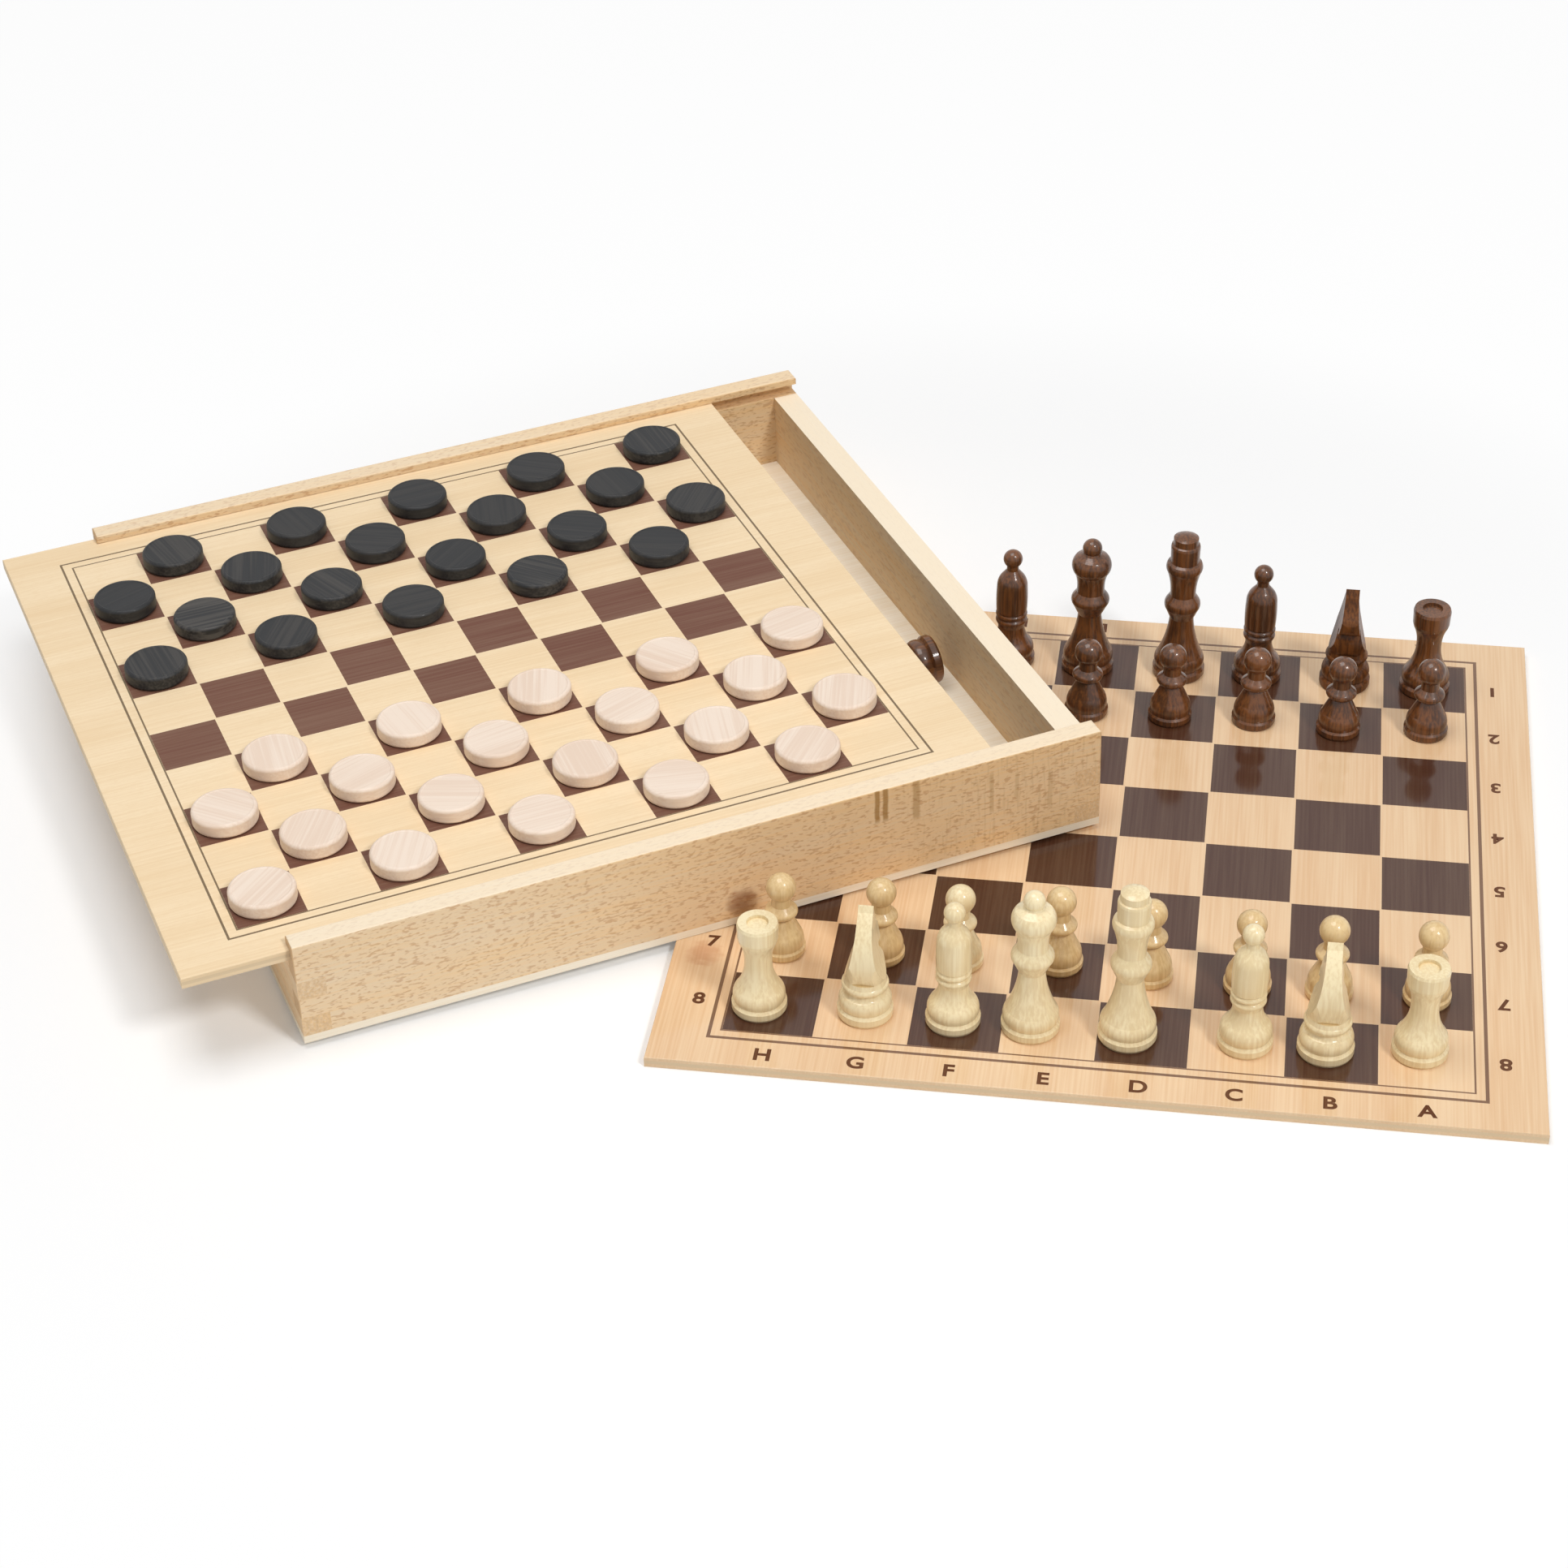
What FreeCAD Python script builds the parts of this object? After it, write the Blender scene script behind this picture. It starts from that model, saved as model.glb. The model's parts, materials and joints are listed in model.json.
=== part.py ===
# Chess and draughts box, set out for play: a finger-jointed box with a sliding draughts lid,
# a loose chess panel of the same size, forty draughtsmen and thirty-two chessmen.
# Origin under the middle of the chess panel, X along the box's front wall, Z up, millimetres.
import FreeCAD, Part
import math
import os
import Sketcher

V = FreeCAD.Vector
Z_AXIS = V(0, 0, 1)

SIZES = {
    # Box
    "box_length": 299.0,
    "box_width": 293.0,
    "box_height": 41.0,
    "side_wall": 8.0,
    "end_wall": 10.0,
    "base_thickness": 3.0,
    "lip_height": 3.0,
    "wall_edge_round": 0.7,
    # Two playing panels of one size: the draughts lid and the chess panel
    "groove_depth": 4.7,
    "slide_clearance": 0.2,
    "panel_end_gap": 0.5,
    "panel_thickness": 4.0,
    "panel_edge_round": 0.4,
    "lid_open": 37.5,
    "draughts_border": 18.0,
    "chess_border": 17.4,
    # Draughtsmen
    "draughtsman_radius": 11.75,
    "draughtsman_thickness": 5.8,
    # Chessmen: foot radius and height of each kind
    "king_radius": 10.0,
    "king_height": 62.0,
    "queen_radius": 10.0,
    "queen_height": 57.5,
    "bishop_radius": 9.4,
    "bishop_height": 50.0,
    "knight_radius": 9.6,
    "knight_height": 44.0,
    "rook_radius": 9.5,
    "rook_height": 36.5,
    "pawn_radius": 8.25,
    "pawn_height": 32.5,
    # How the box stands: its right front corner from the chess panel's middle
    "corner_across": -4.3,
    "corner_back": 7.4,
    "rest_gap": 0.1,
    # Loose men in the box: feet from the right wall, middles from the front wall
    "stored_foot_gap": 39.0,
    "stored_rook_gap": 7.5,
    "stored_first_back": 22.0,
    "stored_spacing": 22.0,
    "stored_rook_back": 98.0,
    "stored_knight_back": 132.0,
    "stored_gap": 0.3,
    "overrun": 1.0,
    "same_height": 0.000001,
}
PANEL_YAW_DEGREES = -30.8
FINGER_BANDS = 4
DRAUGHTS_SQUARES = 10
CHESS_SQUARES = 8
MEN_PER_ROW = 5

# Turned outlines in shares of foot radius and height, from the foot's middle to the top's.
# A corner with four numbers ends an arc that passes through its first two, and one with a
# single height ends a dome that is centred on the axis.
PAWN_SHARES = [
    (0.94, 0.0),
    (1.0, 0.03),
    (1.0, 0.085),
    (0.92, 0.11),
    (0.93, 0.19, 0.8, 0.28),
    (0.64, 0.37, 0.46, 0.46),
    (0.64, 0.5),
    (0.7, 0.535, 0.64, 0.57),
    (0.42, 0.62),
    (0.4, 0.716),
    (1.0,),
]
ROOK_SHARES = [
    (0.95, 0.0),
    (1.0, 0.025),
    (1.0, 0.085),
    (0.91, 0.115),
    (0.95, 0.18, 0.83, 0.26),
    (0.58, 0.4, 0.5, 0.57),
    (0.55, 0.69, 0.69, 0.79),
    (0.73, 0.83),
    (0.75, 0.97),
    (0.71, 1.0),
    (0.4, 1.0),
    (0.37, 0.97),
    (0.0, 0.97),
]
BISHOP_SHARES = [
    (0.95, 0.0),
    (1.0, 0.02),
    (1.0, 0.062),
    (0.91, 0.085),
    (0.95, 0.13, 0.83, 0.19),
    (0.63, 0.25, 0.54, 0.33),
    (0.6, 0.367),
    (0.65, 0.385, 0.6, 0.405),
    (0.57, 0.412),
    (0.62, 0.425),
    (0.65, 0.44, 0.61, 0.455),
    (0.59, 0.462),
    (0.63, 0.475),
    (0.65, 0.58, 0.63, 0.69),
    (0.56, 0.75, 0.42, 0.79),
    (0.25, 0.83),
    (0.24, 0.868),
    (1.0,),
]
QUEEN_SHARES = [
    (0.95, 0.0),
    (1.0, 0.018),
    (1.0, 0.054),
    (0.92, 0.073),
    (0.96, 0.112, 0.86, 0.161),
    (0.6, 0.282, 0.45, 0.429),
    (0.68, 0.513),
    (0.735, 0.542, 0.68, 0.57),
    (0.54, 0.604),
    (0.54, 0.68, 0.64, 0.75),
    (0.76, 0.812, 0.63, 0.868),
    (0.37, 0.892),
    (0.33, 0.905),
    (1.0,),
]
KING_SHARES = [
    (0.95, 0.0),
    (1.0, 0.016),
    (1.0, 0.05),
    (0.92, 0.068),
    (0.96, 0.105, 0.86, 0.15),
    (0.6, 0.27, 0.46, 0.41),
    (0.63, 0.475),
    (0.69, 0.507, 0.63, 0.54),
    (0.49, 0.575),
    (0.52, 0.66, 0.65, 0.745),
    (0.7, 0.776, 0.65, 0.805),
    (0.55, 0.815),
    (0.56, 0.918),
    (0.54, 0.932),
    (0.48, 0.938),
    (0.475, 0.98),
    (1.0,),
]
KNIGHT_FOOT_SHARES = [
    (0.95, 0.0),
    (1.0, 0.022),
    (1.0, 0.075),
    (0.91, 0.1),
    (0.95, 0.15, 0.84, 0.215),
    (0.74, 0.235, 0.72, 0.265),
    (0.8, 0.28),
    (0.84, 0.305, 0.78, 0.33),
    (0.74, 0.37),
]
# The turned blank above the foot that the knight's head is carved from.
KNIGHT_BLANK_SHARES = [
    (0.98, 0.6),
    (0.98, 0.78),
    (0.5, 1.0),
    (0.0, 1.0),
]
# What is carved away, seen from the side with the face to the right: before throat, muzzle and
# brow, and behind the mane. Then the points of a hollow cheek, seen from the front.
FACE_SHARES = [
    (0.68, 0.47, 0.36, 0.6),
    (0.5, 0.63, 0.66, 0.6),
    (0.88, 0.62),
    (0.98, 0.69, 0.86, 0.76),
    (0.6, 0.83, 0.42, 0.93),
    (0.26, 1.0),
    (0.26, 1.1),
    (1.2, 1.1),
    (1.2, 0.37),
]
MANE_SHARES = [
    (-0.7, 0.72, 0.1, 0.95),
    (0.24, 1.0),
    (0.24, 1.1),
    (-1.2, 1.1),
    (-1.2, 0.37),
]
NECK_FRONT_SHARES = (0.62, 0.37)
NECK_BACK_SHARES = (-0.62, 0.37)
CHEEK_LOW_SHARES = (0.74, 0.37)
CHEEK_VIA_SHARES = (0.42, 0.62)
CHEEK_HIGH_SHARES = (0.27, 1.02)
CHEEK_OUTER_SHARE = 1.2
DRAUGHTSMAN_SHARES = [
    (0.89, 0.0),
    (0.97, 0.07, 1.0, 0.26),
    (1.0, 0.74),
    (0.97, 0.93, 0.89, 1.0),
    (0.86, 0.97),
    (0.0, 0.97),
]
OUTLINES = {
    "pawn": PAWN_SHARES,
    "rook": ROOK_SHARES,
    "bishop": BISHOP_SHARES,
    "queen": QUEEN_SHARES,
    "king": KING_SHARES,
    "knight": KNIGHT_FOOT_SHARES,
}

# Files run from h at the left to a at the right, as seen from the light side.
FILES = "hgfedcba"
BACK_RANK = ["rook", "knight", "bishop", "queen", "king", "bishop", "knight", "rook"]
LIGHT_RANK, LIGHT_PAWN_RANK, DARK_PAWN_RANK, DARK_RANK = 0, 1, 6, 7
# Men that stand off the middle of their square, in shares of a square to the right and back.
MIDDLE_SHARES = (0.0, 0.0)
STANDING_SHARES = {
    "light_king_d": (-0.17, -0.03),
    "light_queen_e": (-0.21, -0.02),
    "light_bishop_f": (-0.045, -0.02),
    "light_bishop_c": (0.08, 0.01),
    "light_knight_b": (-0.07, 0.0),
    "light_rook_h": (-0.15, -0.05),
    "light_rook_a": (-0.08, 0.1),
    "light_pawn_h": (-0.05, -0.05),
    "light_pawn_g": (0.05, 0.0),
    "light_pawn_f": (-0.08, -0.01),
    "light_pawn_e": (0.01, 0.09),
    "light_pawn_c": (0.07, -0.05),
    "light_pawn_b": (-0.05, -0.04),
    "dark_queen_e": (-0.12, -0.02),
    "dark_bishop_f": (-0.08, 0.0),
    "dark_bishop_c": (-0.045, 0.02),
    "dark_knight_b": (0.03, 0.0),
    "dark_pawn_e": (-0.06, -0.02),
    "dark_pawn_d": (-0.05, 0.0),
    "dark_pawn_c": (-0.045, 0.05),
    "dark_pawn_b": (-0.03, -0.03),
    "dark_pawn_a": (0.01, 0.06),
}
STORED_MEN = ["dark_rook_h", "dark_knight_g", "dark_pawn_h", "dark_pawn_g", "dark_pawn_f"]

doc = FreeCAD.newDocument("ChessAndDraughtsBox")
sheet = doc.addObject("Spreadsheet::Sheet", "Sizes")
for line, (alias, value) in enumerate(SIZES.items(), start=1):
    sheet.set(f"A{line}", alias)
    sheet.set(f"B{line}", str(value))
    sheet.setAlias(f"B{line}", alias)
doc.recompute()


def size(alias):
    return float(sheet.get(alias))


def formula(text):
    """Turn words that are size names into references to the sheet's cells."""
    words = text.split()
    return " ".join(f"Sizes.{word}" if word in SIZES else word for word in words)


def bind(thing, **formulas):
    for name, text in formulas.items():
        thing.setExpression(name, formula(text))


def block(name, x, y, z):
    """A box from a start and an extent, both formulas, along each axis."""
    box = doc.addObject("Part::Box", name)
    bind(box, Length=x[1], Width=y[1], Height=z[1])
    for axis, (start, extent) in zip("xyz", (x, y, z)):
        box.setExpression(f"Placement.Base.{axis}", formula(start))
    return box


def cut(name, blank, tools):
    tool = doc.addObject("Part::MultiFuse", f"{name}_cuts")
    tool.Shapes = tools
    result = doc.addObject("Part::Cut", name)
    result.Base = blank
    result.Tool = tool
    return result


def rounded(name, base, radius_alias, chosen):
    """Round the edges of base that the test picks."""
    doc.recompute()
    radius = size(radius_alias)
    edges = enumerate(base.Shape.Edges, start=1)
    result = doc.addObject("Part::Fillet", name)
    result.Base = base
    result.Edges = [(number, radius, radius) for number, edge in edges if chosen(edge)]
    return result


def at_height(edge, height):
    box = edge.BoundBox
    return max(abs(box.ZMin - height), abs(box.ZMax - height)) < size("same_height")


# Box walls, in the box's own frame: left front corner at the origin
GROOVE_FLOOR = "( box_height - lip_height - panel_thickness - 2 * slide_clearance )"
BAND_HEIGHT = f"( ( {GROOVE_FLOOR} - base_thickness ) / {FINGER_BANDS} )"
PANEL_LENGTH = "( box_length - 2 * panel_end_gap )"
PANEL_WIDTH = "( box_width - 2 * ( side_wall - groove_depth + slide_clearance ) )"
DRAUGHTS_PITCH = f"( ( {PANEL_WIDTH} - 2 * draughts_border ) / {DRAUGHTS_SQUARES} )"


def finger_bands(name, x, y, first):
    """Every second height band of a corner post, from the given band up."""
    return [
        block(f"{name}_{band}", x, y, (f"base_thickness + {band} * {BAND_HEIGHT}", BAND_HEIGHT))
        for band in range(first, FINGER_BANDS, 2)
    ]


def side_wall(name, start, groove_start):
    """A long wall with its lid groove and the sockets for the end walls' fingers."""
    blank = block(
        f"{name}_blank",
        ("0", "box_length"),
        (start, "side_wall"),
        ("base_thickness", "box_height - base_thickness"),
    )
    groove = block(
        f"{name}_groove",
        ("0 - overrun", "box_length + 2 * overrun"),
        (groove_start, "groove_depth + overrun"),
        (GROOVE_FLOOR, "panel_thickness + 2 * slide_clearance"),
    )
    through = (f"{start} - overrun", "side_wall + 2 * overrun")
    tools = [groove]
    tools += finger_bands(f"{name}_left", ("0 - overrun", "end_wall + overrun"), through, 0)
    right_end = ("box_length - end_wall", "end_wall + overrun")
    tools += finger_bands(f"{name}_right", right_end, through, 0)
    wall = cut(f"{name}_cut", blank, tools)
    top = size("box_height")
    return rounded(name, wall, "wall_edge_round", lambda edge: at_height(edge, top))


def end_wall(name, start):
    """A short wall, as high as the groove's floor so that the lid passes over it."""
    blank = block(
        f"{name}_blank",
        (start, "end_wall"),
        ("0", "box_width"),
        ("base_thickness", f"{GROOVE_FLOOR} - base_thickness"),
    )
    through = (f"{start} - overrun", "end_wall + 2 * overrun")
    tools = finger_bands(f"{name}_front", through, ("0 - overrun", "side_wall + overrun"), 1)
    back_end = ("box_width - side_wall", "side_wall + overrun")
    tools += finger_bands(f"{name}_back", through, back_end, 1)
    return cut(name, blank, tools)


def panel(name):
    """A playing panel with the edges of its upper face eased."""
    blank = doc.addObject("Part::Box", f"{name}_blank")
    bind(blank, Length=PANEL_LENGTH, Width=PANEL_WIDTH, Height="panel_thickness")
    top = size("panel_thickness")
    return rounded(name, blank, "panel_edge_round", lambda edge: at_height(edge, top))


# Turned pieces
def plane(body, role):
    return next(item for item in body.Origin.OriginFeatures if item.Role == role)


def sketch_on(body, role):
    sketch = body.newObject("Sketcher::SketchObject", f"{body.Name}_sketch")
    sketch.AttachmentSupport = (plane(body, role), [""])
    sketch.MapMode = "FlatFace"
    return sketch


def pin(sketch, element, end, shares, scales):
    """Hold a point of the sketch at shares of the two named sizes."""
    kinds = ("DistanceX", "DistanceY")
    axes = (-2, -1)
    for kind, axis, share, alias in zip(kinds, axes, shares, scales):
        if share == 0:
            sketch.addConstraint(Sketcher.Constraint("PointOnObject", element, end, axis))
            continue
        value = share * size(alias)
        index = sketch.addConstraint(Sketcher.Constraint(kind, -1, 1, element, end, value))
        sketch.setExpression(f"Constraints[{index}]", f"Sizes.{alias} * {share}")


def scaled(shares, scales):
    return V(shares[0] * size(scales[0]), shares[1] * size(scales[1]), 0)


def end_of(corner):
    return (0.0, corner[0]) if len(corner) == 1 else corner[-2:]


def dome_level(first, last):
    """Height of a dome's middle, which lies on the axis."""
    rise = last.y - first.y
    return (last.y + first.y) / 2 - first.x**2 / rise / 2


def widest_ring(start, corner, scales):
    """Radius and height of the ring where a turned segment stands out furthest."""
    if len(corner) > 1:
        return scaled(corner[:2], scales)
    last = scaled(end_of(corner), scales)
    level = dome_level(scaled(end_of(start), scales), last)
    return V(last.y - level, level, 0)


def draw_dome(sketch, first, last):
    """Add an arc to the axis whose middle lies on the axis."""
    level = dome_level(first, last)
    middle = V(0, level, 0)
    circle = Part.Circle(middle, Z_AXIS, last.y - level)
    start = math.atan2(first.y - level, first.x)
    arc = sketch.addGeometry(Part.ArcOfCircle(circle, start, math.pi / 2))
    sketch.addConstraint(Sketcher.Constraint("PointOnObject", arc, 3, -2))
    return arc, 1, 2


def draw_segment(sketch, start, corner, scales):
    """Add a line or arc to the corner; give its number and the ends at start and corner."""
    first = scaled(start, scales)
    last = scaled(end_of(corner), scales)
    if len(corner) == 1:
        return draw_dome(sketch, first, last)
    if len(corner) == 2:
        return sketch.addGeometry(Part.LineSegment(first, last)), 1, 2
    middle = scaled(corner[:2], scales)
    circle = Part.Circle(first, middle, last)
    spokes = (first - circle.Center, last - circle.Center)
    angles = [math.atan2(spoke.y, spoke.x) for spoke in spokes]
    anticlockwise = (middle - first).cross(last - middle).z > 0
    if not anticlockwise:
        angles.reverse()
    round_edge = Part.Circle(circle.Center, Z_AXIS, circle.Radius)
    arc = sketch.addGeometry(Part.ArcOfCircle(round_edge, *angles))
    via = sketch.addGeometry(Part.Point(middle), True)
    pin(sketch, via, 1, corner[:2], scales)
    sketch.addConstraint(Sketcher.Constraint("PointOnObject", via, 1, arc))
    return (arc, 1, 2) if anticlockwise else (arc, 2, 1)


def draw_outline(sketch, start, corners, scales):
    """A closed outline through the corners and back to its start."""
    segments = []
    here = start
    for corner in corners + [start]:
        segments.append(draw_segment(sketch, here, corner, scales))
        here = end_of(corner)
    for corner, segment, following in zip(corners + [start], segments, segments[1:] + segments[:1]):
        joined = (segment[0], segment[2], following[0], following[1])
        sketch.addConstraint(Sketcher.Constraint("Coincident", *joined))
        pin(sketch, segment[0], segment[2], end_of(corner), scales)


def turned(name, shares, scales):
    """A body turned from its outline; scales name its radius and height."""
    body = doc.addObject("PartDesign::Body", name)
    sketch = sketch_on(body, "XZ_Plane")
    draw_outline(sketch, (0, 0), shares, scales)
    turn = body.newObject("PartDesign::Revolution", f"{name}_turn")
    turn.Profile = sketch
    turn.ReferenceAxis = (sketch, ["V_Axis"])
    turn.Angle = 360
    return body


def carve(body, name, role, outlines, scales):
    """Cut outlines on one of the body's planes away through all of it."""
    sketch = sketch_on(body, role)
    for start, corners in outlines:
        draw_outline(sketch, start, corners, scales)
    pocket = body.newObject("PartDesign::Pocket", f"{body.Name}_{name}")
    pocket.Profile = sketch
    pocket.SideType = "Symmetric"
    pocket.Type = "ThroughAll"
    body.Tip = pocket


def carve_head(body, scales):
    """Carve the knight's head from its blank: face, mane and both cheeks."""
    carve(body, "face", "YZ_Plane", [(NECK_FRONT_SHARES, FACE_SHARES)], scales)
    carve(body, "mane", "YZ_Plane", [(NECK_BACK_SHARES, MANE_SHARES)], scales)
    cheeks = []
    for side in (-1, 1):
        low = (side * CHEEK_LOW_SHARES[0], CHEEK_LOW_SHARES[1])
        via = (side * CHEEK_VIA_SHARES[0], CHEEK_VIA_SHARES[1])
        high = (side * CHEEK_HIGH_SHARES[0], CHEEK_HIGH_SHARES[1])
        outer_high = (side * CHEEK_OUTER_SHARE, CHEEK_HIGH_SHARES[1])
        outer_low = (side * CHEEK_OUTER_SHARE, CHEEK_LOW_SHARES[1])
        cheeks.append((low, [via + high, outer_high, outer_low]))
    carve(body, "cheeks", "XZ_Plane", cheeks, scales)


def chessman(name, kind):
    scales = (f"{kind}_radius", f"{kind}_height")
    if kind != "knight":
        return turned(name, OUTLINES[kind], scales)
    body = turned(name, KNIGHT_FOOT_SHARES + KNIGHT_BLANK_SHARES, scales)
    carve_head(body, scales)
    return body


def draughts_row(name):
    """Five draughtsmen, two squares apart, with a thin raised rim each."""
    body = turned(name, DRAUGHTSMAN_SHARES, ("draughtsman_radius", "draughtsman_thickness"))
    row = body.newObject("PartDesign::LinearPattern", f"{name}_row")
    row.Originals = [body.Tip]
    row.Direction = (plane(body, "X_Axis"), [""])
    bind(row, Length=f"{2 * (MEN_PER_ROW - 1)} * {DRAUGHTS_PITCH}")
    row.Occurrences = MEN_PER_ROW
    body.Tip = row
    return body


# Places
def shift(x, y, z):
    return FreeCAD.Placement(V(x, y, z), FreeCAD.Rotation())


def turn_about(axis, degrees):
    return FreeCAD.Placement(V(), FreeCAD.Rotation(axis, degrees))


def panel_length():
    return size("box_length") - 2 * size("panel_end_gap")


def panel_inset():
    """From the outside of a side wall to the lid's edge in its groove."""
    return size("side_wall") - size("groove_depth") + size("slide_clearance")


def panel_width():
    return size("box_width") - 2 * panel_inset()


def chess_panel_place():
    centred = shift(-panel_length() / 2, -panel_width() / 2, 0)
    return turn_about(Z_AXIS, PANEL_YAW_DEGREES).multiply(centred)


def box_place():
    """The box leans on the chess panel's left edge and on its own left back corner."""
    panel_place = chess_panel_place()
    bearing = size("panel_thickness") + size("rest_gap")
    pivot = panel_place.multVec(V(0, 0, bearing))
    edge = panel_place.Rotation.multVec(V(0, 1, 0))
    left_front = V(size("corner_across") - size("box_length"), size("corner_back"), bearing)
    left_back = left_front + V(0, size("box_width"), 0)
    reach = edge.cross(left_back - pivot).z
    tilt = math.degrees(math.asin(size("panel_thickness") / reach))
    level = FreeCAD.Placement(left_front - pivot, FreeCAD.Rotation())
    return shift(*pivot).multiply(turn_about(edge, -tilt)).multiply(level)


def lid_place():
    across = size("panel_end_gap") - size("lid_open")
    up = size("box_height") - size("lip_height") - size("panel_thickness") - size("slide_clearance")
    return box_place().multiply(shift(across, panel_inset(), up))


def square_middle(column, row, squares, border):
    """Middle of a panel's square, counted from its left front one."""
    pitch = (panel_width() - 2 * border) / squares
    left = (panel_length() - squares * pitch) / 2
    half = pitch / 2
    return left + column * pitch + half, border + row * pitch + half


def draughts_place(row):
    first_dark = row % 2
    across, back = square_middle(first_dark, row, DRAUGHTS_SQUARES, size("draughts_border"))
    return lid_place().multiply(shift(across, back, size("panel_thickness")))


def standing_place(name, column, row):
    across_share, back_share = STANDING_SHARES.get(name, MIDDLE_SHARES)
    column += across_share
    row += back_share
    across, back = square_middle(column, row, CHESS_SQUARES, size("chess_border"))
    upright = shift(across, back, size("panel_thickness"))
    facing = turn_about(Z_AXIS, 180 if name.startswith("dark") else 0)
    return chess_panel_place().multiply(upright).multiply(facing)


def lying_place(kind, foot_gap, back):
    """A loose man on its side in the box, foot to the right, on its rim and one other ring."""
    radius = size(f"{kind}_radius")
    scales = (f"{kind}_radius", f"{kind}_height")
    corners = OUTLINES[kind]
    rings = [widest_ring(*pair, scales) for pair in zip(corners, corners[1:])]
    rim = max(ring.y for ring in rings if ring.x == radius)
    upper = [ring for ring in rings if ring.y > rim + radius]
    lean = min(math.atan2(radius - ring.x, ring.y - rim) for ring in upper)
    up = size("base_thickness") + size("stored_gap")
    up += radius * math.cos(lean) + rim * math.sin(lean)
    on_side = turn_about(V(0, 1, 0), -90 - math.degrees(lean))
    across = size("box_length") - size("end_wall") - foot_gap
    return box_place().multiply(shift(across, size("side_wall") + back, up)).multiply(on_side)


def stored_place(name, kind):
    if kind == "rook":
        return lying_place(kind, size("stored_rook_gap"), size("stored_rook_back"))
    if kind == "knight":
        return lying_place(kind, size("stored_foot_gap"), size("stored_knight_back"))
    pawns = [other for other in STORED_MEN if "pawn" in other]
    back = size("stored_first_back") + pawns.index(name) * size("stored_spacing")
    return lying_place(kind, size("stored_foot_gap"), back)


# Sub-parts with their places
nodes = {}
base = doc.addObject("Part::Box", "base_panel")
bind(base, Length="box_length", Width="box_width", Height="base_thickness")
nodes["base_panel"] = (base, box_place())
front = side_wall("front_wall", "0", "side_wall - groove_depth")
nodes["front_wall"] = (front, box_place())
back = side_wall("back_wall", "box_width - side_wall", "box_width - side_wall - overrun")
nodes["back_wall"] = (back, box_place())
nodes["left_wall"] = (end_wall("left_wall", "0"), box_place())
nodes["right_wall"] = (end_wall("right_wall", "box_length - end_wall"), box_place())
nodes["sliding_lid"] = (panel("sliding_lid"), lid_place())
nodes["chess_panel"] = (panel("chess_panel"), chess_panel_place())

for number in range(1, 5):
    name = f"white_draughts_{number}"
    nodes[name] = (draughts_row(name), draughts_place(number - 1))
    name = f"black_draughts_{number}"
    nodes[name] = (draughts_row(name), draughts_place(DRAUGHTS_SQUARES - number))

for column, (letter, piece) in enumerate(zip(FILES, BACK_RANK)):
    ranks = [
        (f"light_{piece}_{letter}", piece, LIGHT_RANK),
        (f"light_pawn_{letter}", "pawn", LIGHT_PAWN_RANK),
        (f"dark_pawn_{letter}", "pawn", DARK_PAWN_RANK),
        (f"dark_{piece}_{letter}", piece, DARK_RANK),
    ]
    for name, kind, row in ranks:
        stored = name in STORED_MEN
        place = stored_place(name, kind) if stored else standing_place(name, column, row)
        nodes[name] = (chessman(name, kind), place)

doc.recompute()
for name, (node, place) in nodes.items():
    node.Label = name
    node.Placement = place

# Check every object and shape, then write the sub-parts
faulty = [item.Name for item in doc.Objects if "Invalid" in item.State or "Error" in item.State]
if faulty:
    raise RuntimeError(f"objects that failed: {faulty}")
for name, (node, place) in nodes.items():
    if node.Shape.isNull() or not node.Shape.isValid():
        raise RuntimeError(f"no valid shape: {name}")

os.makedirs("parts", exist_ok=True)
for name, (node, place) in nodes.items():
    node.Shape.exportStep(f"parts/{name}.step")
    solids = len(node.Shape.Solids)
    print(f"{name}: {solids} solids, {node.Shape.Volume:.1f} mm3")
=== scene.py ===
"""Looks of a wooden chess and draughts box: finishes, printed coordinates and a stage."""

import json
import math

import bpy
from mathutils import Matrix, Vector


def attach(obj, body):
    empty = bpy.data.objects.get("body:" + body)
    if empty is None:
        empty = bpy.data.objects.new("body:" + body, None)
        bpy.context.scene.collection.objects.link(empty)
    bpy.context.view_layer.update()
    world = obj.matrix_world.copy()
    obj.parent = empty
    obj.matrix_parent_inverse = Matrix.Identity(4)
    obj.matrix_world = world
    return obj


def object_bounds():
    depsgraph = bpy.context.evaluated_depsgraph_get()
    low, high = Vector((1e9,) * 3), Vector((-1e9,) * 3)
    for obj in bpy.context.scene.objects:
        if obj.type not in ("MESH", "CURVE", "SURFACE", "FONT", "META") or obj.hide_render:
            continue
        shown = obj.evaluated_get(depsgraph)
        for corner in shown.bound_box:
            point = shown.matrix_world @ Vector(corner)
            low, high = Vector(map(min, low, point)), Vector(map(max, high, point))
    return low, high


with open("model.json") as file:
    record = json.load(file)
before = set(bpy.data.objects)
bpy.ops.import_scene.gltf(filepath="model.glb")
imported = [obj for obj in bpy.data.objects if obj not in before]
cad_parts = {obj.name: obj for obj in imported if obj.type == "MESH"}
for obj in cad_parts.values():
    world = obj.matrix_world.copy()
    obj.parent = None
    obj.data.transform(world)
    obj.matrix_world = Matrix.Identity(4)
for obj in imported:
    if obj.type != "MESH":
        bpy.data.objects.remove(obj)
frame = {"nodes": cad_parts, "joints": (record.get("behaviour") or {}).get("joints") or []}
CAD_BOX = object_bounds()

bl_info = {
    "name": "Chess and Draughts Box",
    "version": (1, 0, 0),
    "blender": (4, 5, 0),
    "location": "View3D > Sidebar > Chess Box",
    "description": "Wood, print and lacquer for a chess and draughts box, with its stage",
    "category": "Object",
}

MM = 0.001

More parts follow.
